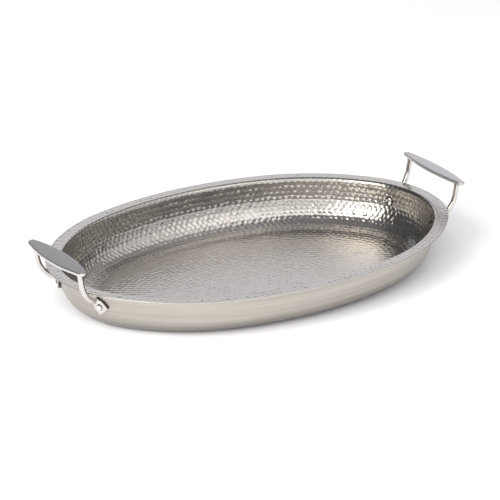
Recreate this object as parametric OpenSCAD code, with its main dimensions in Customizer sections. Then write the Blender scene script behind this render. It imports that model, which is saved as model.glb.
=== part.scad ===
// Oval gratin pan with a hammered inner sheet, a smooth outer shell and two riveted bar handles.
// Frame: +Z up, origin under the middle of the pan on the surface it stands on.
// The long axis of the oval lies along X, so the handles stand at the +X and -X ends.

/* [Rim] */
// Length of the rim from end to end
rim_l = 400; // [390:2:412]
// Width of the rim across the middle
rim_w = 266; // [258:2:272]
// Height of the rim's top face above the table
rim_h = 43; // [40:0.5:52]
// Radius of the oval's two ends
end_r = 94; // [90:1:99]

/* [Sheets] */
// Thickness of the hammered inner sheet
liner_t = 1.2; // [0.8:0.1:1.6]
// Thickness of the smooth outer shell
shell_t = 1; // [0.8:0.1:1.4]
// Distance from the rim's edge in to the outer shell, just under the flange
flange_over = 11; // [9:0.5:13]
// Radius of the bend from the flange down into the wall
lip_r = 3; // [2.5:0.1:4]
// Lean of the wall away from upright, in degrees
wall_lean = 6; // [3:0.5:9]
// Outer radius of the bend from the wall into the base
base_r = 31; // [26:0.5:33]

/* [Handles] */
// Height of the grip's top face above the rim, at its centre line
grip_rise = 24.8; // [22:0.2:30]
// Distance from the rim's end out to the grip's centre line
grip_out = 3.6; // [3:0.1:6]
// Length of a grip from tip to tip
grip_l = 93; // [90:1:104]
// Width of a grip at its middle
grip_w = 18; // [15:0.5:20]
// Thickness of a grip
grip_t = 3; // [2.5:0.1:4]
// Radius of a grip's rounded tips
tip_r = 3.8; // [2.5:0.1:5]
// Tilt that lowers a grip's outer edge, in degrees
grip_tilt = 10; // [5:0.5:12]
// Diameter of the round rod of a leg
rod_d = 5; // [4:0.1:5.4]
// Distance between the tops of a handle's two legs
leg_gap = 76; // [72:1:78]

/* [Rivets] */
// Angle of a rivet from the long axis, seen from above, around the end of the oval
rivet_turn = 26; // [23:0.5:27]
// Depth of a rivet's centre below the rim's top face
rivet_drop = 15.8; // [14.5:0.1:17]
// Diameter of a rivet's shank
shank_d = 4; // [3:0.1:4.6]
// Diameter of the rivet head outside the pan
outer_head_d = 6; // [5.4:0.1:7]
// Diameter of the rivet head inside the pan
inner_head_d = 8.5; // [7:0.1:10]
// Side of the square foot at the end of a leg
foot_w = 11.6; // [11:0.1:12.4]
// Thickness of the foot
foot_t = 2.6; // [2.2:0.1:3]

/* [Hidden] */
$fn = 96;

steel_hammered = [0.78, 0.76, 0.73];
steel_brushed = [0.84, 0.81, 0.76];
steel_satin = [0.70, 0.69, 0.69];
steel_polished = [0.88, 0.87, 0.85];

half_l = rim_l / 2;
half_w = rim_w / 2;

// The wall's upper end, where the lip bend starts
lip_z = rim_h - lip_r;
// Where the base bend meets the wall, and how far in from the rim's edge its centre lies
wall_foot_z = base_r * (1 - sin(wall_lean));
bend_in = flange_over + (lip_z - wall_foot_z) * tan(wall_lean) + base_r * cos(wall_lean);
// Flat floor ring that the sweep carries with it, inside the base bend's centre
floor_ring = 20;

// The oval changes radius where its outward direction is one of these two, so that its arcs stay tangent
// and every centre is a short decimal
END_DIR = [0.8, 0.6];
SIDE_DIR = [0.28, 0.96];
// How much longer each radius is than the one before, from the tangency of the arcs
side_gain = 5 * (half_l + end_r - 2 * half_w);
mid_gain = (half_w - end_r - (1 - SIDE_DIR[1]) * side_gain) / (1 - END_DIR[1]);
mid_r = end_r + mid_gain;
side_r = mid_r + side_gain;
END_SPOT = [half_l - end_r, 0];
MID_SPOT = END_SPOT - mid_gain * END_DIR;
SIDE_SPOT = MID_SPOT - side_gain * SIDE_DIR;

// One quarter's arcs, each as [centre, radius, first direction, last direction];
// the end and side arcs reach over the axis they straddle
ARCS = [
    [END_SPOT, end_r, [END_DIR[0], -END_DIR[1]], END_DIR],
    [MID_SPOT, mid_r, END_DIR, SIDE_DIR],
    [SIDE_SPOT, side_r, SIDE_DIR, [-SIDE_DIR[0], SIDE_DIR[1]]]
];

// Points along an arc in a profile
function arc_points(centre, r, from, to, steps) =
    [for (i = [0:steps]) let (turn = from + (to - from) * i / steps) centre + r * [cos(turn), sin(turn)]];

// Where a skin of the wall stands at height z, measured from the rim's edge; r is its radius in the base bend
function wall_x(r, z) = -bend_in + r * cos(wall_lean) + (z - base_r + r * sin(wall_lean)) * tan(wall_lean);

// The lip bend turns about this point, which lies just outside the wall
lip_axis_r = base_r - shell_t + lip_r - liner_t;
lip_axis = [wall_x(lip_axis_r, lip_z), lip_z];

// Where a skin of the wall ends and the lip bend begins
function wall_top(r) = lip_z + (lip_axis_r - r) * sin(wall_lean);

// Sweep a profile round one arc of the oval; the profile's x = 0 is the rim's edge and its -x is inward
module sweep_arc(arc) {
    reach = 2 * arc[1];
    intersection() {
        translate(arc[0])
            rotate_extrude()
                translate([arc[1], 0])
                    children();
        linear_extrude(2 * rim_h)
            polygon([
                arc[0],
                arc[0] + reach * arc[2],
                arc[0] + reach * (arc[2] + arc[3]),
                arc[0] + reach * arc[3]
            ]);
    }
}

module around_oval() {
    for (left = [0, 1])
        mirror([left, 0, 0])
            sweep_arc(ARCS[0])
                children();
    for (left = [0, 1], front = [0, 1])
        corner(left, front)
            sweep_arc(ARCS[1])
                children();
    for (front = [0, 1])
        mirror([0, front, 0])
            sweep_arc(ARCS[2])
                children();
}

// Middle of the floor, which closes the swept ring
module floor_plate(z, thick) {
    inset = bend_in + 2;
    quarter = [for (arc = [ARCS[0], ARCS[1]]) arc[0] + (arc[1] - inset) * arc[3]];
    translate([0, 0, z])
        linear_extrude(thick)
            polygon([
                quarter[0], quarter[1],
                [-quarter[1][0], quarter[1][1]], [-quarter[0][0], quarter[0][1]],
                -quarter[0], -quarter[1],
                [quarter[1][0], -quarter[1][1]], [quarter[0][0], -quarter[0][1]]
            ]);
}

// Points of a skin from the floor ring, round the base bend and up the wall to the lip bend
bend_steps = 12;
function skin(r) = concat(
    [[-bend_in - floor_ring, base_r - r]],
    arc_points([-bend_in, base_r], r, -90, -wall_lean, bend_steps),
    [[wall_x(r, wall_top(r)), wall_top(r)]]
);
function backwards(points) = [for (i = [len(points) - 1:-1:0]) points[i]];

// Mirror a shape made for the right-hand back corner to any corner; each flag is 0 or 1
module corner(left, front) {
    mirror([left, 0, 0])
        mirror([0, front, 0])
            children();
}

// Rivet's own frame on the right-hand back corner: z out of the wall, -x up it, y away from the handle
rivet_z = rim_h - rivet_drop;
rivet_reach = end_r + wall_x(base_r, rivet_z);
module at_rivet() {
    translate(END_SPOT)
        rotate([0, 0, rivet_turn])
            translate([rivet_reach, 0, rivet_z])
                rotate([0, 90 + wall_lean, 0])
                    children();
}

wall_t = liner_t + shell_t;
bore_reach = 12;
module rivet_bore() {
    at_rivet()
        translate([0, 0, -bore_reach / 2])
            cylinder(d = shank_d, h = bore_reach);
}

module rivet_bores() {
    for (left = [0, 1], front = [0, 1])
        corner(left, front)
            rivet_bore();
}

// A shallow dome with a flat underside at z = 0
module dome(d, rise) {
    ball_r = (rise * rise + d * d / 4) / (2 * rise);
    intersection() {
        translate([0, 0, rise - ball_r])
            sphere(r = ball_r);
        cylinder(d = d, h = rise);
    }
}

// The inner head bridges the curve of the wall, so its rim stands this far off the middle
head_lift = 0.35;
outer_head_rise = 1.4;
inner_head_rise = 1.3;
module rivet() {
    inner_end = -wall_t - head_lift;
    at_rivet() {
        translate([0, 0, inner_end])
            cylinder(d = shank_d, h = foot_t - inner_end);
        translate([0, 0, foot_t])
            dome(outer_head_d, outer_head_rise);
        translate([0, 0, inner_end])
            mirror([0, 0, 1])
                dome(inner_head_d, inner_head_rise);
    }
}

// The space that the end wall fills, which a foot sits against
module end_wall_space() {
    translate(END_SPOT)
        rotate_extrude()
            translate([end_r, 0])
                polygon(concat(
                    arc_points([-bend_in, base_r], base_r, -90, -wall_lean, bend_steps),
                    [[wall_x(base_r, lip_z), lip_z], [-bend_in, lip_z]]
                ));
}

// Grip frame on the right: the middle of the grip's top face, tilted so that the outer edge is lower
grip_x = half_l + grip_out;
grip_z = rim_h + grip_rise;
module at_grip() {
    translate([grip_x, 0, grip_z])
        rotate([0, grip_tilt, 0])
            children();
}

// A grip's outline is two long arcs that meet in rounded tips
tip_y = grip_l / 2 - tip_r;
grip_side_r = (tip_y * tip_y + grip_w * grip_w / 4 - tip_r * tip_r) / (grip_w - 2 * tip_r);
module grip_outline() {
    side_x = grip_side_r - grip_w / 2;
    cut_y = tip_y * grip_side_r / (grip_side_r - tip_r);
    intersection() {
        translate([-side_x, 0])
            circle(r = grip_side_r);
        translate([side_x, 0])
            circle(r = grip_side_r);
        square([grip_w, 2 * cut_y], center = true);
    }
    for (end = [-1, 1])
        translate([0, end * tip_y])
            circle(r = tip_r);
}

module grip() {
    at_grip()
        translate([0, 0, -grip_t])
            linear_extrude(grip_t)
                grip_outline();
}

// The foot lies askew on the wall: its length runs down and away from the handle
foot_skew = 44;
foot_tail = 8;
foot_sink = 1.5;
rod_land = 6.3;
rod_depth = 1.6;
module foot() {
    difference() {
        at_rivet()
            rotate([0, 0, 90 - foot_skew])
                translate([-foot_tail, -foot_w / 2, -foot_sink])
                    cube([foot_tail + foot_w / 2, foot_w, foot_sink + foot_t]);
        end_wall_space();
    }
}

// The rod's two ends in the model's frame
rod_start = [grip_x - grip_t * sin(grip_tilt), leg_gap / 2, grip_z - grip_t * cos(grip_tilt)];
wall_out = [cos(rivet_turn) * cos(wall_lean), sin(rivet_turn) * cos(wall_lean), -sin(wall_lean)];
wall_up = [cos(rivet_turn) * sin(wall_lean), sin(rivet_turn) * sin(wall_lean), cos(wall_lean)];
wall_side = [-sin(rivet_turn), cos(rivet_turn), 0];
rivet_spot = [END_SPOT[0] + rivet_reach * cos(rivet_turn), rivet_reach * sin(rivet_turn), rivet_z];
rod_end = rivet_spot + rod_depth * wall_out
    + rod_land * (cos(foot_skew) * wall_up - sin(foot_skew) * wall_side);

// From the grip the rod runs straight, then one bend takes it to the foot
rod_straight = 12;
heading = [-sin(grip_tilt), 0, -cos(grip_tilt)];
rod_gap = rod_end - rod_start;
along = rod_gap * heading - rod_straight;
aside_x = rod_gap * [cos(grip_tilt), 0, -sin(grip_tilt)];
aside_y = rod_gap[1];
aside = norm([aside_x, aside_y]);
rod_turn = 2 * atan(aside / along);
rod_bend_r = along / sin(rod_turn);
rod_swing = atan2(aside_y, aside_x);
// One ring of points round the rod, at angle turn of the bend; a negative turn is a drop before the bend
rod_sides = 24;
rod_steps = 12;
function rod_ring(turn) =
    let (bend = max(turn, 0))
    [for (i = [0:rod_sides - 1])
        let (a = 360 * i / rod_sides, r = rod_d / 2)
        [
            rod_bend_r - (rod_bend_r - r * cos(a)) * cos(bend),
            r * sin(a),
            (turn < 0 ? 0 : rod_straight) + (rod_bend_r - r * cos(a)) * sin(bend)
        ]
    ];

module rod() {
    rings = [rod_ring(-1), for (k = [0:rod_steps]) rod_ring(rod_turn * k / rod_steps)];
    last = (len(rings) - 1) * rod_sides;
    walls = [
        for (k = [0:len(rings) - 2], i = [0:rod_sides - 1])
            let (a = k * rod_sides + i, b = k * rod_sides + (i + 1) % rod_sides)
            [a, a + rod_sides, b + rod_sides, b]
    ];
    start_cap = [for (i = [0:rod_sides - 1]) i];
    end_cap = [for (i = [rod_sides - 1:-1:0]) last + i];
    at_grip()
        translate([0, leg_gap / 2, -grip_t])
            mirror([0, 0, 1])
                rotate([0, 0, rod_swing])
                    polyhedron([for (ring = rings) each ring], concat(walls, [start_cap, end_cap]));
}

module leg() {
    difference() {
        union() {
            rod();
            foot();
        }
        rivet_bore();
    }
}

module hammered_liner() {
    half_t = liner_t / 2;
    edge = [-half_t, rim_h - half_t];
    inner_r = base_r - shell_t - liner_t;
    color(steel_hammered)
        difference() {
            union() {
                around_oval()
                    polygon(concat(
                        skin(base_r - shell_t),
                        arc_points(lip_axis, lip_r - liner_t, 180 - wall_lean, 90, 5),
                        arc_points(edge, half_t, -90, 90, 4),
                        arc_points(lip_axis, lip_r, 90, 180 - wall_lean, 5),
                        backwards(skin(inner_r))
                    ));
                floor_plate(shell_t, liner_t);
            }
            rivet_bores();
        }
}

module outer_shell() {
    color(steel_brushed)
        difference() {
            union() {
                around_oval()
                    polygon(concat(skin(base_r), backwards(skin(base_r - shell_t))));
                floor_plate(0, shell_t);
            }
            rivet_bores();
        }
}

module grip_left() {
    color(steel_satin)
        corner(1, 0)
            grip();
}

module grip_right() {
    color(steel_satin)
        corner(0, 0)
            grip();
}

module leg_left_front() {
    color(steel_brushed)
        corner(1, 1)
            leg();
}

module leg_left_back() {
    color(steel_brushed)
        corner(1, 0)
            leg();
}

module leg_right_front() {
    color(steel_brushed)
        corner(0, 1)
            leg();
}

module leg_right_back() {
    color(steel_brushed)
        corner(0, 0)
            leg();
}

module rivet_left_front() {
    color(steel_polished)
        corner(1, 1)
            rivet();
}

module rivet_left_back() {
    color(steel_polished)
        corner(1, 0)
            rivet();
}

module rivet_right_front() {
    color(steel_polished)
        corner(0, 1)
            rivet();
}

module rivet_right_back() {
    color(steel_polished)
        corner(0, 0)
            rivet();
}

hammered_liner();
outer_shell();
grip_left();
grip_right();
leg_left_front();
leg_left_back();
leg_right_front();
leg_right_back();
rivet_left_front();
rivet_left_back();
rivet_right_front();
rivet_right_back();
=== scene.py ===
"""An oval steel gratin pan: hammered inside and on its flange, brushed outside, with two bar handles.

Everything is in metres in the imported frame: +Z up, the long axis along X, the table at z = 0.
"""
import math

import bmesh
import bpy
import numpy as np
from mathutils import Matrix, Vector, kdtree


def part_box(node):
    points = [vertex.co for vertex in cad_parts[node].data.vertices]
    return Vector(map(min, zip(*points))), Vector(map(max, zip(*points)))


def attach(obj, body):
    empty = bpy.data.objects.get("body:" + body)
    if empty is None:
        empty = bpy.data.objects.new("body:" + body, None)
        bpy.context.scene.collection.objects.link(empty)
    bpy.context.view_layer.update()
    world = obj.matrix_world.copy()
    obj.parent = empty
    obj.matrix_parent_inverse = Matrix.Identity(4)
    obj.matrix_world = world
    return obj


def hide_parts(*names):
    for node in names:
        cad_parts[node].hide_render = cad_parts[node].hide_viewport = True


MM = 0.001

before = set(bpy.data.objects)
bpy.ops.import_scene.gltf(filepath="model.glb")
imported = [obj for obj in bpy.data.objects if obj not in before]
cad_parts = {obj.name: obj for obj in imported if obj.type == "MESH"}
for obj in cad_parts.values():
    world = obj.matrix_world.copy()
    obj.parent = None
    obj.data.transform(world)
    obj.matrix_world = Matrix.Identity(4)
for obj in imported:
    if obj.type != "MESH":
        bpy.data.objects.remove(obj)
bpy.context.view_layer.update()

# ---------------------------------------------------------------- sizes, from the frame and the design
_, rim_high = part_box("hammered_liner")
HALF_L, HALF_W, RIM_H = rim_high[0], rim_high[1], rim_high[2]
END_R = 94 * MM
LINER_T = 1.2 * MM
SHELL_T = 1.0 * MM
FLANGE_OVER = 11 * MM
LIP_R = 3 * MM
LEAN = math.radians(6)
BASE_R = 31 * MM
END_TURN, SIDE_TURN = math.atan2(0.6, 0.8), math.atan2(0.96, 0.28)

LIP_Z = RIM_H - LIP_R
BEND_IN = FLANGE_OVER + (LIP_Z - BASE_R * (1 - math.sin(LEAN))) * math.tan(LEAN) + BASE_R * math.cos(LEAN)
SIDE_GAIN = 5 * (HALF_L + END_R - 2 * HALF_W)
MID_GAIN = (HALF_W - END_R - (1 - math.sin(SIDE_TURN)) * SIDE_GAIN) / (1 - math.sin(END_TURN))
FLOOR_Z = LINER_T + SHELL_T

GRIP_TILT = math.radians(10)
GRIP_T = 3 * MM
GRIP_HALF_W = 9 * MM
GRIP_HALF_L = 46.5 * MM
TIP_R = 3.8 * MM
GRIP_X, GRIP_Z = HALF_L + 3.6 * MM, RIM_H + 24.8 * MM
ROD_R = 2.5 * MM
LEG_Y = 38 * MM
RIVET_TURN = math.radians(26)
RIVET_Z = RIM_H - 15.8 * MM
FOOT_W, FOOT_T, FOOT_TAIL = 11.6 * MM, 2.6 * MM, 8 * MM
FOOT_SKEW = math.radians(44)


# ---------------------------------------------------------------- outlines made of tangent arcs
class Outline:
    """A closed outline of tangent arcs, symmetrical about both axes and long along X.

    Each arc of its first quarter is (centre x, centre y, radius, direction in which it ends).
    """

    def __init__(self, *arcs):
        self.x, self.y, self.r, self.ends = (np.array(column) for column in zip(*arcs))

    def at(self, turns):
        out = np.stack([np.cos(turns), np.sin(turns)], axis=1)
        k = np.searchsorted(self.ends[:-1], np.arctan2(abs(out[:, 1]), abs(out[:, 0])))
        sides = np.where(out < 0, -1, 1)
        return np.stack([self.x[k], self.y[k]], axis=1) * sides, self.r[k], out

    def inset(self, turns, depth):
        centre, r, out = self.at(turns)
        return centre + (r - depth)[:, None] * out

    def to_axis(self, turns):
        """How far in the long axis lies, measured square to the outline."""
        centre, r, out = self.at(turns)
        flat = abs(out[:, 1]) < 1e-9
        return np.where(flat, r, r + centre[:, 1] / np.where(flat, 1, out[:, 1]))

    def spread(self, count, depth=0.0, start=0.0):
        """Directions of points spaced evenly round the outline inset by depth, and its length."""
        quarter = np.concatenate([[0], self.ends])
        spans = np.diff(quarter) * np.maximum(self.r - depth, 0)
        back = quarter[-2::-1]
        turns = np.concatenate([quarter, np.pi - back, np.pi + quarter[1:], 2 * np.pi - back])
        lengths = np.cumsum(np.concatenate([[0], spans, spans[::-1], spans, spans[::-1]]))
        return np.interp((np.arange(count) + start) / count * lengths[-1], lengths, turns), lengths[-1]


END_X = HALF_L - END_R
MID_R, SIDE_R = END_R + MID_GAIN, END_R + MID_GAIN + SIDE_GAIN
pan = Outline(
    (END_X, 0, END_R, END_TURN),
    (END_X - MID_GAIN * math.cos(END_TURN), -MID_GAIN * math.sin(END_TURN), MID_R, SIDE_TURN),
    (0, HALF_W - END_R - MID_GAIN - SIDE_GAIN, SIDE_R, math.pi / 2),
)

tip_at = GRIP_HALF_L - TIP_R
GRIP_SIDE_R = (tip_at**2 + GRIP_HALF_W**2 - TIP_R**2) / (2 * (GRIP_HALF_W - TIP_R))
lens = Outline(
    (tip_at, 0, TIP_R, math.atan2(GRIP_SIDE_R - GRIP_HALF_W, tip_at)),
    (0, GRIP_HALF_W - GRIP_SIDE_R, GRIP_SIDE_R, math.pi / 2),
)


# ---------------------------------------------------------------- profiles, as (inset, height)
def arc(centre, r, start, end, steps):
    turns = np.radians(np.linspace(start, end, steps + 1))
    return np.stack([centre[0] - r * np.cos(turns), centre[1] + r * np.sin(turns)], axis=1)


def wall_in(r, z):
    """Inset at height z of the wall skin whose radius in the base bend is r."""
    return BEND_IN - r * math.cos(LEAN) - (z - BASE_R + r * math.sin(LEAN)) * math.tan(LEAN)


LIP_AXIS_R = BASE_R - SHELL_T + LIP_R - LINER_T
LIP_AXIS = (wall_in(LIP_AXIS_R, LIP_Z), LIP_Z)
LEAN_DEG = math.degrees(LEAN)


def skin(r, steps=24):
    """A wall skin from the lip bend down and round the base bend to the floor."""
    top = LIP_Z + (LIP_AXIS_R - r) * math.sin(LEAN)
    return np.vstack([[(wall_in(r, top), top)], arc((BEND_IN, BASE_R), r, -LEAN_DEG, -90, steps)])


def even(profile, shares):
    """Points at the given shares of a profile's length."""
    along = np.concatenate([[0], np.cumsum(np.hypot(*np.diff(profile, axis=0).T))])
    return np.stack([np.interp(shares * along[-1], along, profile[:, k]) for k in (0, 1)], axis=1)


# ---------------------------------------------------------------- meshes stitched from rings of points
class Rings:
    """A surface stitched from rings of points.

    A ring may hold as many points as the one before it, half as many or twice as many.
    """

    def __init__(self, around):
        self.around, self.along, self.count = around, 0.0, 0
        self.rings, self.normals, self.faces, self.uvs = [], [], [], []

    def add(self, points, normals=None):
        n, first = len(points), self.count
        if self.rings:
            self.join(self.rings[-1], points, first)
        self.rings.append(points)
        self.normals.append(np.zeros_like(points) if normals is None else normals)
        self.count += n

    def join(self, last, points, first):
        """Faces between the last ring and a new one whose first point has the number first."""
        m, n = len(last), len(points)
        i = np.arange(min(n, m))
        gap = np.linalg.norm(points[:: n // len(i)] - last[:: m // len(i)], axis=1).mean()
        old_along, new_along = self.along, self.along + gap

        def old(k):
            return first - m, k, m, old_along

        def new(k):
            return first, k, n, new_along

        if n == m:
            self.stitch(old(i), new(i), new(i + 1), old(i + 1))
        elif n < m:
            self.stitch(old(2 * i), new(i), old(2 * i + 1))
            self.stitch(old(2 * i + 1), new(i), new(i + 1))
            self.stitch(old(2 * i + 1), new(i + 1), old(2 * i + 2))
        else:
            self.stitch(old(i), new(2 * i), new(2 * i + 1))
            self.stitch(old(i), new(2 * i + 1), old(i + 1))
            self.stitch(old(i + 1), new(2 * i + 1), new(2 * i + 2))
        self.along = new_along

    def stitch(self, *corners):
        """Faces whose corners are (number of the ring's first point, index, ring's count, distance)."""
        self.faces += np.stack([base + k % n for base, k, n, _ in corners], axis=1).tolist()
        uvs = [np.stack([k / n * self.around, np.full(len(k), v)], axis=1) for _, k, n, v in corners]
        self.uvs.append(np.stack(uvs, axis=1).reshape(-1, 2))

    def mesh(self, name):
        mesh = bpy.data.meshes.new(name)
        mesh.from_pydata(np.vstack(self.rings).tolist(), [], self.faces)
        layer = mesh.uv_layers.new(name="Along")
        layer.data.foreach_set("uv", np.vstack(self.uvs).ravel())
        shading = mesh.attributes.new("shading", "FLOAT_VECTOR", "POINT")
        shading.data.foreach_set("vector", np.vstack(self.normals).ravel())
        return welded(mesh)


def welded(mesh):
    """Joins points that fall on one another and turns every face outward."""
    bm = bmesh.new()
    bm.from_mesh(mesh)
    bmesh.ops.remove_doubles(bm, verts=bm.verts, dist=1e-6)
    bmesh.ops.recalc_face_normals(bm, faces=bm.faces)
    bm.to_mesh(mesh)
    bm.free()
    mesh.shade_smooth()
    shading = np.empty(len(mesh.vertices) * 3)
    mesh.attributes["shading"].data.foreach_get("vector", shading)
    mesh.attributes.remove(mesh.attributes["shading"])
    if shading.any():
        mesh.normals_split_custom_set_from_vertices(shading.reshape(-1, 3))
    return mesh


def ease(share):
    """A smooth step from 0 to 1."""
    share = min(1.0, max(0.0, share))
    return share * share * (3 - 2 * share)


def with_painted_shade(mesh, values):
    """Marks where shade is painted into the colour: 1 where it is darkest, 0 on open metal."""
    mesh.attributes.new("painted_shade", "FLOAT", "POINT").data.foreach_set("value", values)
    return mesh


def on_pan(turns, inset, z):
    return np.column_stack([pan.inset(turns, inset), np.full(len(turns), z)])


# ---------------------------------------------------------------- the hammered liner
WALL_DIMPLES, STATIONS_EACH = 172, 6
WALL_ROWS, LINES_EACH = 14, 4
DIMPLE_GAP, DIMPLE_ROWS = 5.2 * MM, 4.9 * MM
FLOOR_GRID = 1.5 * MM
DIMPLE_DEPTH = 0.24 * MM
DIMPLE_REACH = 3.1 * MM
DEPTH_SPREAD = (0.65, 1.3)
STRAY_MM = 0.6
NEAREST = 5
RIDGE = 2.2 / MM**2
# how deep the marks go on each stretch, in parts of their full depth
FLOOR_MARKS, LIP_MARKS, EXTRA_WALL_MARKS = 0.9, 0.55, 0.5
# the wall's marks reach their full depth this far over the floor and lose it this far under the lip
WALL_GAIN, WALL_LOSS = 12 * MM, 4 * MM
SHEET_GAP = 0.02 * MM
rng = np.random.default_rng(7)

top_profile = np.vstack([
    [(LINER_T / 2, RIM_H)],
    arc(LIP_AXIS, LIP_R, 90, 180 - LEAN_DEG, 12),
    skin(BASE_R - SHELL_T - LINER_T)[1:],
])


def dimple_centres():
    """Hammer marks in staggered rows: two on the flange, then down the wall and over the floor."""
    spots = []
    for k, (inset, z) in enumerate(even(top_profile, (np.arange(WALL_ROWS) + 0.5) / WALL_ROWS)):
        turns, _ = pan.spread(WALL_DIMPLES, 0, k % 2 / 2)
        spots.append(on_pan(turns, inset, z))
    inset, k = BEND_IN + DIMPLE_ROWS / 2, WALL_ROWS
    while inset < HALF_W:
        count = max(2, round(pan.spread(1, inset)[1] / DIMPLE_GAP))
        turns, _ = pan.spread(count, inset, k % 2 / 2)
        kept = turns[pan.to_axis(turns) > inset]
        spots.append(on_pan(kept, inset, FLOOR_Z))
        inset, k = inset + DIMPLE_ROWS, k + 1
    spots = np.vstack(spots)
    return spots + rng.uniform(-STRAY_MM, STRAY_MM, spots.shape) * MM


centres = dimple_centres()
depths = DIMPLE_DEPTH * rng.uniform(*DEPTH_SPREAD, len(centres))
tree = kdtree.KDTree(len(centres))
for i, spot in enumerate(centres):
    tree.insert(spot, i)
tree.balance()


def mark_depth(points, near):
    """How deep the hammer marks nearest to each point go there; ridges stand where two marks meet."""
    gap2 = ((points[:, None, :] - centres[near]) ** 2).sum(axis=2)
    least = gap2.min(axis=1, keepdims=True)
    pull = np.exp(-RIDGE * (gap2 - least))
    total = pull.sum(axis=1)
    soft = least[:, 0] - np.log(total) / RIDGE
    return (pull * depths[near]).sum(axis=1) / total * np.maximum(0, 1 - soft / DIMPLE_REACH**2)


def hammered(points, normals, weight):
    """The points pushed into the metal by the nearest hammer marks, and the beaten surface's normals."""
    near = np.array([[k for _, k, _ in tree.find_n(p, NEAREST)] for p in points])
    normals = np.broadcast_to(normals, points.shape)
    depth = mark_depth(points, near) * weight
    around = np.roll(points, -1, axis=0) - np.roll(points, 1, axis=0)
    around /= np.linalg.norm(around, axis=1)[:, None]
    down = np.cross(normals, around)
    step = 0.05 * MM

    def lean_along(way):
        rise = mark_depth(points + step * way, near) - mark_depth(points - step * way, near)
        return (rise * weight / (2 * step))[:, None] * way

    beaten = normals + (lean_along(around) + lean_along(down))
    return points - normals * depth[:, None], beaten / np.linalg.norm(beaten, axis=1)[:, None]


def build_liner():
    turns, around = pan.spread(WALL_DIMPLES * STATIONS_EACH)
    half_turns = turns[::2]
    rings = Rings(around)
    rows = even(top_profile, np.linspace(0, 1, WALL_ROWS * LINES_EACH + 1))
    slope = np.gradient(rows, axis=0)
    slope /= np.hypot(*slope.T)[:, None]
    # the floor, from the long axis out to the base bend
    to_axis = pan.to_axis(half_turns)
    floor_rows = round((HALF_W - BEND_IN) / FLOOR_GRID)
    for k in range(floor_rows):
        inset = to_axis + (BEND_IN - to_axis) * k / floor_rows
        rings.add(*hammered(on_pan(half_turns, inset, FLOOR_Z), np.array([[0, 0, 1.0]]), FLOOR_MARKS))
    # the base bend, the wall, the lip and the flange
    _, _, out = pan.at(turns)
    for k in range(len(rows) - 1, -1, -1):
        inset, z = rows[k]
        lip = abs(inset - (LIP_AXIS[0] + LIP_R / 2)) < LIP_R * 0.7 and z > LIP_Z
        wall = ease((z - FLOOR_Z) / WALL_GAIN) * ease((LIP_Z - z) / WALL_LOSS)
        normals = np.column_stack([out * slope[k][1], np.full(len(out), slope[k][0])])
        weight = LIP_MARKS if lip else 1 + EXTRA_WALL_MARKS * wall
        rings.add(*hammered(on_pan(turns, inset, z), normals, weight))
    # the rounded edge and the underside
    half_t = LINER_T / 2
    for inset, z in arc((half_t, RIM_H - half_t), half_t, 90, -90, 4)[1:]:
        rings.add(on_pan(turns, inset, z))
    under = np.vstack([
        arc(LIP_AXIS, LIP_R - LINER_T, 90, 180 - LEAN_DEG, 4),
        skin(BASE_R - SHELL_T - SHEET_GAP, 10)[1:],
    ])
    for inset, z in under:
        rings.add(on_pan(half_turns, inset, z))
    rings.add(on_pan(half_turns, to_axis, under[-1][1]))
    return rings.mesh("hammered_liner")


# ---------------------------------------------------------------- the outer shell
SHELL_STATIONS, SHELL_ROWS, SHELL_FLOOR_ROWS = 480, 36, 12
# a soft shade round the base: its strength, where it starts and how tall it is
SHADE, SHADE_FROM, SHADE_TALL = 0.6, 3 * MM, 15 * MM


def build_shell():
    turns, around = pan.spread(SHELL_STATIONS)
    to_axis = pan.to_axis(turns)
    rings = Rings(around)
    outer = even(skin(BASE_R, 48), np.linspace(0, 1, SHELL_ROWS + 1))
    inner = skin(BASE_R - SHELL_T, 12)
    for k in range(SHELL_FLOOR_ROWS):
        inset = to_axis + (BEND_IN - to_axis) * k / SHELL_FLOOR_ROWS
        rings.add(on_pan(turns, inset, 0.0))
    for inset, z in np.vstack([outer[::-1], inner]):
        rings.add(on_pan(turns, inset, z))
    rings.add(on_pan(turns, to_axis, SHELL_T))
    mesh = rings.mesh("outer_shell")
    shade = [SHADE * (1 - ease((v.co.z - SHADE_FROM) / SHADE_TALL)) for v in mesh.vertices]
    return with_painted_shade(mesh, shade)


# ---------------------------------------------------------------- grips
GRIP_STATIONS = 360
GRIP_EDGE = 0.9 * MM
FACE_SHARES = (0, 0.35, 0.7)


def grip_frame():
    """The middle of the right-hand grip's top face; its local X runs along the grip."""
    place = Matrix.Translation((GRIP_X, 0, GRIP_Z))
    return place @ Matrix.Rotation(GRIP_TILT, 4, "Y") @ Matrix.Rotation(math.pi / 2, 4, "Z")


def build_grip():
    turns, around = lens.spread(GRIP_STATIONS)
    to_axis = lens.to_axis(turns)
    rings = Rings(around)

    def ring(inset, z):
        rings.add(np.column_stack([lens.inset(turns, inset), np.full(len(turns), z)]))

    edge = np.vstack([
        arc((GRIP_EDGE, -GRIP_EDGE), GRIP_EDGE, 90, 0, 6),
        arc((GRIP_EDGE, GRIP_EDGE - GRIP_T), GRIP_EDGE, 0, -90, 6),
    ])
    for share in FACE_SHARES:
        ring(to_axis + (GRIP_EDGE - to_axis) * share, 0)
    for inset, z in edge:
        ring(inset, z)
    for share in FACE_SHARES[::-1]:
        ring(to_axis + (GRIP_EDGE - to_axis) * share, -GRIP_T)
    mesh = rings.mesh("grip")
    mesh.transform(grip_frame())
    return mesh


# ---------------------------------------------------------------- rivets
RIVET_REACH = END_R - wall_in(BASE_R, RIVET_Z)
SHANK_R = 2 * MM
OUTER_HEAD_D, OUTER_HEAD_RISE = 6 * MM, 1.4 * MM
INNER_HEAD_D, INNER_HEAD_RISE, INNER_HEAD_STAND = 8.5 * MM, 1.3 * MM, 0.35 * MM
# painted shade round each head's rim starts at this share of its radius and is full after this much more
RIM_FROM, RIM_WIDE = 0.68, 0.2

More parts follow.
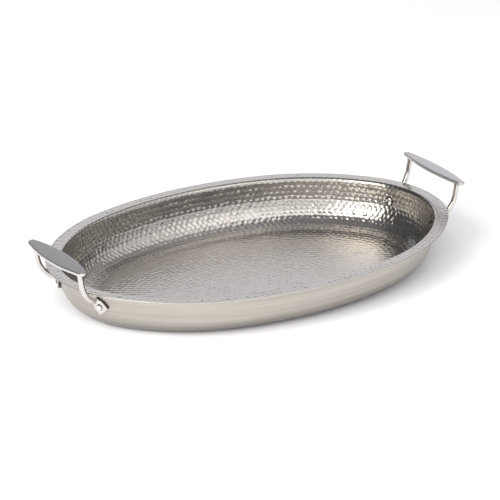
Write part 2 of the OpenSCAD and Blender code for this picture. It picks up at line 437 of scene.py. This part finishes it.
out_x, out_y = math.cos(RIVET_TURN), math.sin(RIVET_TURN)
wall_out = Vector((out_x * math.cos(LEAN), out_y * math.cos(LEAN), -math.sin(LEAN)))
wall_up = Vector((out_x * math.sin(LEAN), out_y * math.sin(LEAN), math.cos(LEAN)))
wall_side = Vector((-out_y, out_x, 0))
rivet_spot = Vector((END_X + RIVET_REACH * out_x, RIVET_REACH * out_y, RIVET_Z))
# the foot's own axes: its tail points up the wall and toward the handle's middle
foot_tail_dir = math.cos(FOOT_SKEW) * wall_up - math.sin(FOOT_SKEW) * wall_side
foot_side_dir = wall_out.cross(foot_tail_dir)
foot_axes = Matrix((foot_tail_dir, foot_side_dir, wall_out)).transposed().to_4x4()
foot_frame = Matrix.Translation(rivet_spot) @ foot_axes


def revolved(name, profile, sides=48):
    """A closed solid turned about local Z, from (radius, height) pairs that start and end on the axis."""
    rings = Rings(2 * math.pi * max(r for r, _ in profile))
    turns = np.linspace(0, 2 * np.pi, sides, endpoint=False)
    for r, z in profile:
        rings.add(np.column_stack([r * np.cos(turns), r * np.sin(turns), np.full(sides, z)]))
    return rings.mesh(name)


def build_rivet():
    def head(d, rise, steps=12):
        """A rounded button, from its edge to its crown."""
        turns = [math.pi / 2 * k / steps for k in range(steps, -1, -1)]
        return [(d / 2 * math.sin(t), rise * math.cos(t)) for t in turns]

    inner_z = -(LINER_T + SHELL_T) - INNER_HEAD_STAND
    inner = [(r, inner_z - z) for r, z in head(INNER_HEAD_D, INNER_HEAD_RISE)][::-1]
    outer = [(r, FOOT_T + z) for r, z in head(OUTER_HEAD_D, OUTER_HEAD_RISE)]
    mesh = revolved("rivet", inner + [(SHANK_R, inner_z), (SHANK_R, FOOT_T)] + outer)
    # shade painted round the rim of each head, where its edge turns away
    painted_shade = []
    for v in mesh.vertices:
        head_r = (OUTER_HEAD_D if v.co.z > 0 else INNER_HEAD_D) / 2
        painted_shade.append(ease((v.co.xy.length / head_r - RIM_FROM) / RIM_WIDE))
    with_painted_shade(mesh, painted_shade)
    mesh.transform(foot_frame)
    return mesh


# ---------------------------------------------------------------- legs
ROD_STRAIGHT = 12 * MM
ROD_ROOT = 1.2 * MM
ROD_LAND, ROD_DEPTH = 6.3 * MM, 1.6 * MM
ROD_SIDES, STRAIGHT_STEPS, BEND_STEPS, FLAT_STEPS = 32, 12, 24, 12
# the flattened end: its height over the wall, how far up the tail it stops, and how it widens and thins
FLAT_Z, FLAT_STOP = 1.35 * MM, 2.6 * MM
WIDER_MM, THINNER_MM = 1.9, 1.35
WELD_R, WELD_FADE = 0.9 * MM, 0.7 * MM
FOOT_SINK = 1.5 * MM
FOOT_ROUND = 0.45 * MM
FOOT_LONG_EDGE = 3 * MM
FOOT_TAPER, TAPER_FROM = 0.4, 1 * MM
FUSE_SIZE = 0.32 * MM
# painted shade covers the foot's sides up to this height, fades out over this much more and reaches this far
# beside them
FOOT_SHADE_Z, FOOT_SHADE_FADE, FOOT_SHADE_BESIDE = 1.2 * MM, FOOT_T - 1.6 * MM, 0.5 * MM


def rod_path():
    """Centres of the rod from the grip to the foot: straight, one bend, then eased flat along the foot."""
    start = Vector((GRIP_X - GRIP_T * math.sin(GRIP_TILT), LEG_Y, GRIP_Z - GRIP_T * math.cos(GRIP_TILT)))
    end = rivet_spot + ROD_DEPTH * wall_out + ROD_LAND * foot_tail_dir
    down = Vector((-math.sin(GRIP_TILT), 0, -math.cos(GRIP_TILT)))
    gap = end - start
    along = gap.dot(down) - ROD_STRAIGHT
    aside = gap - gap.dot(down) * down
    turn = 2 * math.atan(aside.length / along)
    bend_r = along / math.sin(turn)
    aside.normalize()
    points = [start + down * s for s in np.linspace(-ROD_ROOT, ROD_STRAIGHT, STRAIGHT_STEPS)]
    bend_start = points[-1]
    for k in range(1, BEND_STEPS - 1):
        t = turn * k / BEND_STEPS
        points.append(bend_start + bend_r * (aside * (1 - math.cos(t)) + down * math.sin(t)))
    heading = (points[-1] - points[-2]).normalized()
    last, goal = points[-1], rivet_spot + FLAT_Z * wall_out + FLAT_STOP * foot_tail_dir
    reach = (goal - last).length
    knots = (last, last + heading * reach * 0.42, goal + foot_tail_dir * reach * 0.5, goal)
    for k in range(1, FLAT_STEPS + 1):
        t = k / FLAT_STEPS
        w = ((1 - t) ** 3, 3 * t * (1 - t) ** 2, 3 * t * t * (1 - t), t**3)
        points.append(sum((a * b for a, b in zip(knots, w)), Vector()))
    return points


def build_rod():
    """The rod, flared like a weld at the grip and flattened toward the foot."""
    path = rod_path()
    rings = Rings(2 * math.pi * ROD_R)
    sides = np.linspace(0, 2 * np.pi, ROD_SIDES, endpoint=False)
    travelled = 0.0
    across = foot_side_dir
    for k, point in enumerate(path):
        ahead = (path[min(k + 1, len(path) - 1)] - path[max(k - 1, 0)]).normalized()
        if k:
            travelled += (point - path[k - 1]).length
        across = (across - across.dot(ahead) * ahead).normalized()
        thick = ahead.cross(across)
        flat = ease((k - (len(path) - FLAT_STEPS - 1)) / FLAT_STEPS)
        weld = WELD_R * math.exp(-max(0.0, travelled - ROD_ROOT) / WELD_FADE)
        wide, deep = ROD_R + weld + flat * WIDER_MM * MM, ROD_R + weld - flat * THINNER_MM * MM
        tip = np.array([point] * ROD_SIDES)
        if k in (0, len(path) - 1):
            rings.add(tip)
        loop = [point + across * wide * math.cos(a) + thick * deep * math.sin(a) for a in sides]
        rings.add(np.array(loop))
        if k == len(path) - 1:
            rings.add(tip)
    return rings.mesh("rod")


def build_foot():
    """The square plate, rounded along its edges, narrower at its tail and shaped to the wall behind it."""
    foot = bmesh.new()
    bmesh.ops.create_cube(foot, size=1)
    length, height = FOOT_TAIL + FOOT_W / 2, FOOT_T + FOOT_SINK
    centre_x, centre_z = (FOOT_TAIL - FOOT_W / 2) / 2, (FOOT_T - FOOT_SINK) / 2
    for v in foot.verts:
        x, y, z = v.co
        v.co = (x * length + centre_x, y * FOOT_W, z * height + centre_z)
    edges = list(foot.edges)
    bmesh.ops.bevel(foot, geom=edges, offset=FOOT_ROUND, segments=3, profile=0.6, affect="EDGES")
    long_edges = [e for e in foot.edges if e.calc_length() > FOOT_LONG_EDGE]
    bmesh.ops.subdivide_edges(foot, edges=long_edges, cuts=12, use_grid_fill=True)
    for v in foot.verts:
        v.co.y *= 1 - FOOT_TAPER * ease((v.co.x - TAPER_FROM) / (FOOT_TAIL - TAPER_FROM))
    foot.transform(foot_frame)
    # the underside follows the wall
    for v in foot.verts:
        radial = Vector((v.co.x - END_X, v.co.y, 0))
        wall_r = END_R - wall_in(BASE_R, v.co.z)
        if v.co.z < BASE_R * (1 - math.sin(LEAN)):
            drop = BASE_R - v.co.z
            wall_r = END_R - BEND_IN + math.sqrt(max(0, BASE_R**2 - drop**2))
        if radial.length < wall_r:
            v.co += radial.normalized() * (wall_r - radial.length)
    mesh = bpy.data.meshes.new("foot")
    foot.to_mesh(mesh)
    foot.free()
    return mesh


def fused(name, *parts):
    """Meshes joined into one skin and softened where they meet, like one forging."""
    joined = bmesh.new()
    for part in parts:
        joined.from_mesh(part)
    raw = bpy.data.meshes.new(name + "_raw")
    joined.to_mesh(raw)
    joined.free()
    maker = bpy.data.objects.new(name + "_maker", raw)
    bpy.context.scene.collection.objects.link(maker)
    remesh = maker.modifiers.new("fuse", "REMESH")
    remesh.mode, remesh.voxel_size, remesh.use_smooth_shade = "VOXEL", FUSE_SIZE, True
    soften = maker.modifiers.new("soften", "SMOOTH")
    soften.factor, soften.iterations = 0.5, 4
    graph = bpy.context.evaluated_depsgraph_get()
    mesh = bpy.data.meshes.new_from_object(maker.evaluated_get(graph))
    bpy.data.objects.remove(maker)
    mesh.name = name
    mesh.shade_smooth()
    return mesh


def build_leg():
    mesh = fused("leg", build_rod(), build_foot())
    to_foot = foot_frame.inverted()
    # shade painted on the foot's sides and just beside them, where the foot stands off the wall
    painted_shade = []
    for v in mesh.vertices:
        x, y, z = to_foot @ v.co
        reach = FOOT_W / 2 + FOOT_SHADE_BESIDE
        beside = abs(y) < reach and -reach < x < FOOT_TAIL + FOOT_SHADE_BESIDE
        painted_shade.append(1 - ease((z - FOOT_SHADE_Z) / FOOT_SHADE_FADE) if beside else 0.0)
    return with_painted_shade(mesh, painted_shade)


# ---------------------------------------------------------------- metals
# the near-black colour toward which painted shade darkens a piece's base colour
PAINTED_SHADE_COLOUR = (0.08, 0.08, 0.08, 1)
GRAIN_DEPTH = 0.05 * MM


def steel(name, colour, rough, streaks, wear, bump, grooved=0.0, bands=(26, 26, 26)):
    """Bare steel: fine streaks, faint smudges and a slightly varied tone, all procedural.

    Grooved steel spreads its light by that much across grooves that run round the pan.
    """
    material = bpy.data.materials.new(name)
    material.use_nodes = True
    nodes, links = material.node_tree.nodes, material.node_tree.links
    shader = nodes["Principled BSDF"]
    shader.inputs["Metallic"].default_value = 1.0
    shader.inputs["Anisotropic"].default_value = grooved

    def node(kind, **inputs):
        made = nodes.new(kind)
        for socket, value in inputs.items():
            made.inputs[socket.replace("_", " ")].default_value = value
        return made

    def noise(scale, detail, roughness):
        """Noise stretched by a different amount along each axis."""
        stretch = node("ShaderNodeMapping", Scale=scale)
        links.new(source, stretch.inputs["Vector"])
        made = node("ShaderNodeTexNoise", Scale=1.0, Detail=detail, Roughness=roughness)
        links.new(stretch.outputs[0], made.inputs["Vector"])
        return made.outputs["Fac"]

    place = nodes.new("ShaderNodeTexCoord")
    source = place.outputs["Object"]
    if grooved:
        # light spreads across the grooves, which run along U
        shader.inputs["Anisotropic Rotation"].default_value = 0.25
        grooves = nodes.new("ShaderNodeTangent")
        grooves.direction_type, grooves.uv_map = "UV_MAP", "Along"
        links.new(grooves.outputs[0], shader.inputs["Tangent"])
        # x and y with the distance along the profile, so that streaks run round the pan without a seam
        uv, xyz = nodes.new("ShaderNodeSeparateXYZ"), nodes.new("ShaderNodeSeparateXYZ")
        links.new(place.outputs["UV"], uv.inputs[0])
        links.new(place.outputs["Object"], xyz.inputs[0])
        join = nodes.new("ShaderNodeCombineXYZ")
        links.new(xyz.outputs["X"], join.inputs["X"])
        links.new(xyz.outputs["Y"], join.inputs["Y"])
        links.new(uv.outputs["Y"], join.inputs["Z"])
        source = join.outputs[0]
    lines = noise(streaks, 5.0, 0.7)
    smudges = noise(bands, 4.0, 0.55)

    tone = nodes.new("ShaderNodeValToRGB")
    worn, clean = tone.color_ramp.elements
    worn.position, worn.color = 0.3, (*(c * (1 - wear) for c in colour), 1)
    clean.position, clean.color = 0.65, (*colour, 1)
    links.new(smudges, tone.inputs["Fac"])
    # shade painted into the base colour: where the mesh's attribute marks shade, the colour darkens toward
    # near black
    shade_mask = nodes.new("ShaderNodeAttribute")
    shade_mask.attribute_name = "painted_shade"
    shade_mix = nodes.new("ShaderNodeMixRGB")
    shade_mix.inputs["Color2"].default_value = PAINTED_SHADE_COLOUR
    links.new(shade_mask.outputs["Fac"], shade_mix.inputs["Fac"])
    links.new(tone.outputs["Color"], shade_mix.inputs["Color1"])
    links.new(shade_mix.outputs["Color"], shader.inputs["Base Color"])

    mix = nodes.new("ShaderNodeMath")
    mix.operation = "ADD"
    links.new(lines, mix.inputs[0])
    links.new(smudges, mix.inputs[1])
    gloss = nodes.new("ShaderNodeMapRange")
    gloss.inputs["From Min"].default_value, gloss.inputs["From Max"].default_value = 0.6, 1.4
    gloss.inputs["To Min"].default_value, gloss.inputs["To Max"].default_value = rough
    links.new(mix.outputs[0], gloss.inputs["Value"])
    links.new(gloss.outputs[0], shader.inputs["Roughness"])

    grain = node("ShaderNodeBump", Strength=bump, Distance=GRAIN_DEPTH)
    links.new(lines, grain.inputs["Height"])
    links.new(grain.outputs[0], shader.inputs["Normal"])
    return material


# name, colour, least and most roughness, streaks along each axis, wear and grain
METALS = {
    name: steel(name, *look, **more)
    for name, look, more in (
        ("hammered_steel", ((0.57, 0.545, 0.515), (0.17, 0.24), (900, 900, 900), 0.05, 0.05), {}),
        (
            "brushed_steel",
            ((0.47, 0.44, 0.4), (0.28, 0.4), (30, 30, 4200), 0.22, 0.6),
            {"grooved": 0.6, "bands": (6, 6, 330)},
        ),
        ("satin_steel", ((0.63, 0.61, 0.615), (0.34, 0.44), (2600, 60, 2600), 0.03, 0.35), {}),
        ("rod_steel", ((0.6, 0.58, 0.55), (0.12, 0.2), (2400, 2400, 90), 0.04, 0.3), {}),
        ("polished_steel", ((0.78, 0.77, 0.75), (0.06, 0.12), (500, 500, 500), 0.03, 0.1), {}),
    )
}


# ---------------------------------------------------------------- the object's pieces
def place_piece(mesh, name, node, slot):
    piece = bpy.data.objects.new(name, mesh)
    bpy.context.scene.collection.objects.link(piece)
    mesh.materials.clear()
    mesh.materials.append(METALS[slot])
    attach(piece, "root")
    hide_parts(node)
    return piece


def turned(mesh, name, x_side, y_side):
    """A copy of a mesh made for the right-hand back corner, mirrored to another corner."""
    copy = mesh.copy()
    copy.name = name
    copy.transform(Matrix.Diagonal((x_side, y_side, 1, 1)))
    if x_side * y_side < 0:
        copy.flip_normals()
    return copy


place_piece(build_liner(), "hammered_sheet", "hammered_liner", "hammered_steel")
place_piece(build_shell(), "brushed_shell", "outer_shell", "brushed_steel")
grip_mesh, leg_mesh, rivet_mesh = build_grip(), build_leg(), build_rivet()
for side, x_side in (("left", -1), ("right", 1)):
    place_piece(turned(grip_mesh, "grip", x_side, 1), f"grip_bar_{side}", f"grip_{side}", "satin_steel")
    for depth, y_side in (("front", -1), ("back", 1)):
        where = f"{side}_{depth}"
        place_piece(turned(leg_mesh, "leg", x_side, y_side), f"leg_rod_{where}", f"leg_{where}", "rod_steel")
        rivet = turned(rivet_mesh, "rivet", x_side, y_side)
        place_piece(rivet, f"rivet_stud_{where}", f"rivet_{where}", "polished_steel")

# ---------------------------------------------------------------- floor, light and camera
FLOOR_HALF, FLOOR_DROP = 6.0, -0.05 * MM
floor_mesh = bpy.data.meshes.new("floor")
corners = [(x * FLOOR_HALF, y * FLOOR_HALF, FLOOR_DROP) for x, y in ((-1, -1), (1, -1), (1, 1), (-1, 1))]
floor_mesh.from_pydata(corners, [], [(0, 1, 2, 3)])
floor = bpy.data.objects.new("floor", floor_mesh)
bpy.context.scene.collection.objects.link(floor)
paper = bpy.data.materials.new("paper")
paper.use_nodes = True
paper_look = paper.node_tree.nodes["Principled BSDF"].inputs
paper_look["Base Color"].default_value = (0.9, 0.9, 0.91, 1)
paper_look["Roughness"].default_value = 0.9
floor_mesh.materials.append(paper)


def at_compass(azimuth, elevation, reach):
    """A spot seen from the pan at a compass azimuth (0 is +Y, 90 is +X) and an elevation, in degrees."""
    a, e = math.radians(azimuth), math.radians(elevation)
    return reach * Vector((math.sin(a) * math.cos(e), math.cos(a) * math.cos(e), math.sin(e)))


def lit_panel(name, azimuth, elevation, reach, wide, tall, radiance, colour):
    """A softbox given by how wide and tall it looks from the pan, in degrees, and how bright its face is."""
    light = bpy.data.lights.new(name, "AREA")
    light.shape = "RECTANGLE"
    width, height = (2 * reach * math.tan(math.radians(angle / 2)) for angle in (wide, tall))
    light.size, light.size_y = width, height
    light.energy, light.color = radiance * math.pi * width * height, colour
    lamp = bpy.data.objects.new(name, light)
    lamp.location = at_compass(azimuth, elevation, reach)
    lamp.rotation_mode = "QUATERNION"
    lamp.rotation_quaternion = (-lamp.location).to_track_quat("-Z", "Y")
    lamp.visible_camera = False
    bpy.context.scene.collection.objects.link(lamp)
    return lamp


WARM, SOFT, COOL = (1.0, 0.975, 0.91), (1.0, 0.98, 0.97), (0.96, 0.96, 1.0)
# what the metal mirrors: azimuth, elevation, reach, width, height, radiance and colour of each panel
lit_panel("key", -108, 40, 2.0, 28, 56, 3.0, WARM)
lit_panel("left_front", -138, 45, 2.0, 30, 50, 0.75, SOFT)
lit_panel("front", 172, 49, 2.0, 44, 44, 1.1, SOFT)
lit_panel("low_front", -152, 12, 2.0, 66, 24, 1.3, SOFT)
lit_panel("low_side", 148, 10, 2.0, 52, 22, 0.75, SOFT)
lit_panel("side", 126, 47, 2.0, 44, 44, 0.65, SOFT)
lit_panel("right", 84, 45, 2.0, 38, 50, 0.28, SOFT)
lit_panel("backdrop", 31, 19, 2.0, 52, 37, 0.88, COOL)
lit_panel("top", 0, 88, 2.0, 50, 50, 0.16, COOL)

# what whitens the floor and stays out of the metal's mirror
for wash in (
    lit_panel("wash_left", -103, 30, 2.5, 50, 24, 7.0, (1.0, 0.99, 0.97)),
    lit_panel("wash_front", -150, 25, 2.5, 70, 24, 2.5, COOL),
    lit_panel("wash_top", 0, 88, 2.5, 62, 62, 0.7, COOL),
):
    wash.visible_glossy = False

world = bpy.data.worlds.new("studio")
bpy.context.scene.world = world
world.use_nodes = True
world.node_tree.nodes["Background"].inputs["Color"].default_value = (0.09, 0.09, 0.095, 1)

AZIMUTH, ELEVATION, ROLL = math.radians(-33.1), math.radians(22.4), math.radians(0.4)
DISTANCE, FOCAL = 5.0, 396.8
SIDE_STEP, RISE_STEP = 0.85 * MM, -12.6 * MM
level_reach = math.cos(ELEVATION)
back = Vector((math.sin(AZIMUTH) * level_reach, -math.cos(AZIMUTH) * level_reach, math.sin(ELEVATION)))
level = Vector((math.cos(AZIMUTH), math.sin(AZIMUTH), 0))
upright = back.cross(level)
right = math.cos(ROLL) * level + math.sin(ROLL) * upright
up = math.cos(ROLL) * upright - math.sin(ROLL) * level
camera = bpy.data.objects.new("camera", bpy.data.cameras.new("camera"))
camera.data.sensor_width, camera.data.lens = 36, FOCAL
camera.data.clip_start, camera.data.clip_end = 0.5, 30
aim_at = Vector((0, 0, RIM_H))
spot = back * DISTANCE + right * SIDE_STEP + up * RISE_STEP + aim_at
camera.matrix_world = Matrix.Translation(spot) @ Matrix((right, up, back)).transposed().to_4x4()
bpy.context.scene.collection.objects.link(camera)
bpy.context.scene.camera = camera
bpy.context.scene.view_settings.view_transform = "Standard"
